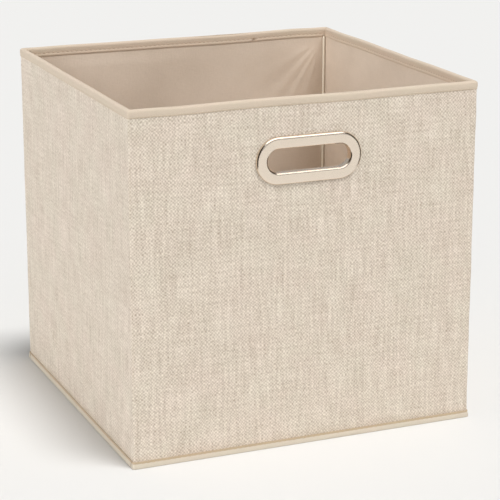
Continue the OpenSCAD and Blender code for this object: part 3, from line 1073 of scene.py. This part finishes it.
# The sections of the handle's two metal rings, in millimetres
r_out, r_in, rise, back, behind = (v / MM for v in (RING_R, SLOT_R, RING_RISE, RING_BACK, WALL_T))
face_section = (
    [(r_out, 0.0), (r_out, 0.5)]
    + bow((r_out - 2.3, rise - 2.3), 2.3, 8, 82, 9)
    + [(r_out - 3.2, rise + 0.02), (r_out - 5.5, rise + 0.06), (r_in + 2.6, rise + 0.03)]
    + bow((r_in + 1.8, rise - 1.8), 1.8, 95, 180, 9)
    + [(r_in, 0), (r_in, 1.0 - back)]
    + bow((r_in + 0.8, 0.8 - back), 0.8, 190, 270, 5)
    + [(r_in + 2.2, -back), (r_in + 2.2, 0.6 - back), (r_in + 0.8, 0.6 - back), (r_in + 0.8, rise - 1.8)]
    + bow((r_in + 1.8, rise - 1.8), 1.0, 175, 95, 5)
    + [(r_out - 2.3, rise - 0.8), (r_out - 0.8, rise - 2.3), (r_out - 0.8, 0.0)]
)
ring("handle_face_ring_metal", face_section, "handle_face_ring")
back_section = (
    [(r_in + 0.85, -behind), (r_in + 7.85, -behind)]
    + bow((r_in + 7.45, -behind - 0.4), 0.4, 0, -90, 4)
    + [(r_in + 4.5, -behind - 0.95), (r_in + 1.6, -behind - 0.8), (r_in + 0.85, -behind - 0.8)]
)
ring("handle_back_ring_metal", back_section, "handle_back_ring")

# The end of the seam's thread, inside the rear rim, in the darker copy of the thread: painted shade
KNOT_X = 76 * MM
KNOT_TURNS = 2.2
KNOT_R = 0.22 * MM
turns = np.linspace(0, KNOT_TURNS * math.tau, 30)
knot_line = np.stack([
    KNOT_X + 0.9 * MM * np.cos(turns) + np.linspace(-0.8, 0.8, 30) * MM,
    HALF_D - WALL_T - TAPE_T - (0.45 + 0.35 * np.sin(turns * 0.5)) * MM,
    STITCH_Z + 0.6 * MM * np.sin(turns),
], -1)
knot = tube("rear_rim_thread_knot", knot_line, KNOT_R, THREAD_PAINTED_SHADE, 8)
fasten(knot, "rear_wall")

for name, node in frame["nodes"].items():
    if name.endswith("_card"):
        node.data.materials.clear()
        node.data.materials.append(BOARD)


# ---- floor, light and camera ----

FLOOR_HALF = 30
FLOOR_Z = -0.08 * MM
FLOOR_COLOUR = (0.79, 0.786, 0.774, 1)
# The dome stays nearer than the end of the view cameras' reach, which is about 26 m
DOME_R = 20
DOME_COLOUR = (0.905, 0.895, 0.87, 1)
SKY_COLOUR = (1.0, 1.0, 0.995, 1)
SKY_STRENGTH = 0.42
DARK = (0.05, 0.035, 0.025, 1)
WHITE = (1, 1, 1, 1)
FLAG_TOP = 0.8
SOFTBOX_Z = 1.2
SOFTBOX_GLOW = 0.98
# The main camera. Its dip and turn are in radians, and its focal length in widths of a pixel
CAMERA_PLACE = (-0.6225, -1.5109, 0.6035)
CAMERA_DIP = 0.269
CAMERA_TURN = -0.397
CAMERA_SHIFT = -0.05
LENS_PX = 1886.4
PICTURE_PX = 500


def stage_piece(name, mesh, material):
    mesh.materials.append(material)
    obj = bpy.data.objects.new(name, mesh)
    bpy.context.scene.collection.objects.link(obj)
    obj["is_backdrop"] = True
    return obj


def flat_piece(name, corners, material):
    mesh = bpy.data.meshes.new(name)
    mesh.from_pydata(corners, [], [(0, 1, 2, 3)])
    return stage_piece(name, mesh, material)


def level(x0, x1, y0, y1, z):
    return [(x0, y0, z), (x1, y0, z), (x1, y1, z), (x0, y1, z)]


def upright(x, y0, y1, top):
    return [(x, y0, 0), (x, y1, 0), (x, y1, top), (x, y0, top)]


def sun(name, azimuth, elevation, strength, spread, only):
    """A soft sun that lights one collection. Azimuth 0 shines from the front and 90 from the right.
    It makes no highlight of its own: the metal shows the cards instead."""
    light = bpy.data.lights.new(name, "SUN")
    light.energy = strength
    light.angle = math.radians(spread)
    obj = bpy.data.objects.new(name, light)
    az, el = math.radians(azimuth), math.radians(elevation)
    source = Vector((math.sin(az) * math.cos(el), -math.cos(az) * math.cos(el), math.sin(el)))
    obj.rotation_euler = (-source).to_track_quat("-Z", "Y").to_euler()
    obj.light_linking.receiver_collection = only
    obj.visible_glossy = False
    bpy.context.scene.collection.objects.link(obj)


def studio_card(name, corners, colour, glow):
    """A flat card beside the stage that shows only as a reflection in the polished metal. It casts no shadow:
    the dark flags paint dark reflections, and the glowing softbox, which is no lamp, paints highlights.
    """
    material = Shader(name).finish(
        Base_Color=colour, Roughness=1.0, Emission_Color=colour, Emission_Strength=glow)
    card = flat_piece(name, corners, material)
    card.visible_camera = False
    card.visible_diffuse = False
    card.visible_shadow = False


def backdrop():
    """A pale dome far behind everything, so that low views end in the floor's colour. It lights nothing."""
    mesh = bpy.data.meshes.new("backdrop")
    shape = bmesh.new()
    bmesh.ops.create_uvsphere(shape, u_segments=32, v_segments=16, radius=DOME_R)
    shape.to_mesh(mesh)
    shape.free()
    material = Shader("backdrop").finish(
        Base_Color=(0, 0, 0, 1), Specular_IOR_Level=0, Emission_Color=DOME_COLOUR, Emission_Strength=1.0)
    dome = stage_piece("backdrop", mesh, material)
    dome.visible_diffuse = False
    dome.visible_glossy = False
    dome.visible_shadow = False


floor_material = Shader("floor").finish(Base_Color=FLOOR_COLOUR, Roughness=1.0, Specular_IOR_Level=0.0)
floor = flat_piece("floor", level(-FLOOR_HALF, FLOOR_HALF, -FLOOR_HALF, FLOOR_HALF, FLOOR_Z), floor_material)
studio_card("left_flag", upright(-0.42, -1.0, 0.3, FLAG_TOP), DARK, 0)
studio_card("right_flag", upright(0.45, -0.62, 0.6, FLAG_TOP), DARK, 0)
studio_card("softbox", level(-0.5, 1.1, -1.4, 0.4, SOFTBOX_Z), WHITE, SOFTBOX_GLOW)
backdrop()

world = bpy.data.worlds.new("studio")
bpy.context.scene.world = world
world.use_nodes = True
sky = world.node_tree.nodes["Background"]
sky.inputs["Color"].default_value = SKY_COLOUR
sky.inputs["Strength"].default_value = SKY_STRENGTH

bin_only = bpy.data.collections.new("bin_only")
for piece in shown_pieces():
    bin_only.objects.link(piece)
floor_only = bpy.data.collections.new("floor_only")
floor_only.objects.link(floor)
sun("key", 26, 58, 2.05, 26, bin_only)
sun("left_fill", -78, 22, 1.48, 35, bin_only)
sun("floor_key", 30, 78, 2.24, 16, floor_only)
bpy.context.scene.view_settings.view_transform = "Standard"

camera_data = bpy.data.cameras.new("camera")
camera_data.sensor_width = 36
camera_data.lens = LENS_PX / PICTURE_PX * camera_data.sensor_width
camera_data.shift_y = CAMERA_SHIFT
camera = bpy.data.objects.new("camera", camera_data)
camera.location = CAMERA_PLACE
camera.rotation_euler = (math.radians(90) - CAMERA_DIP, 0, CAMERA_TURN)
bpy.context.scene.collection.objects.link(camera)
bpy.context.scene.camera = camera
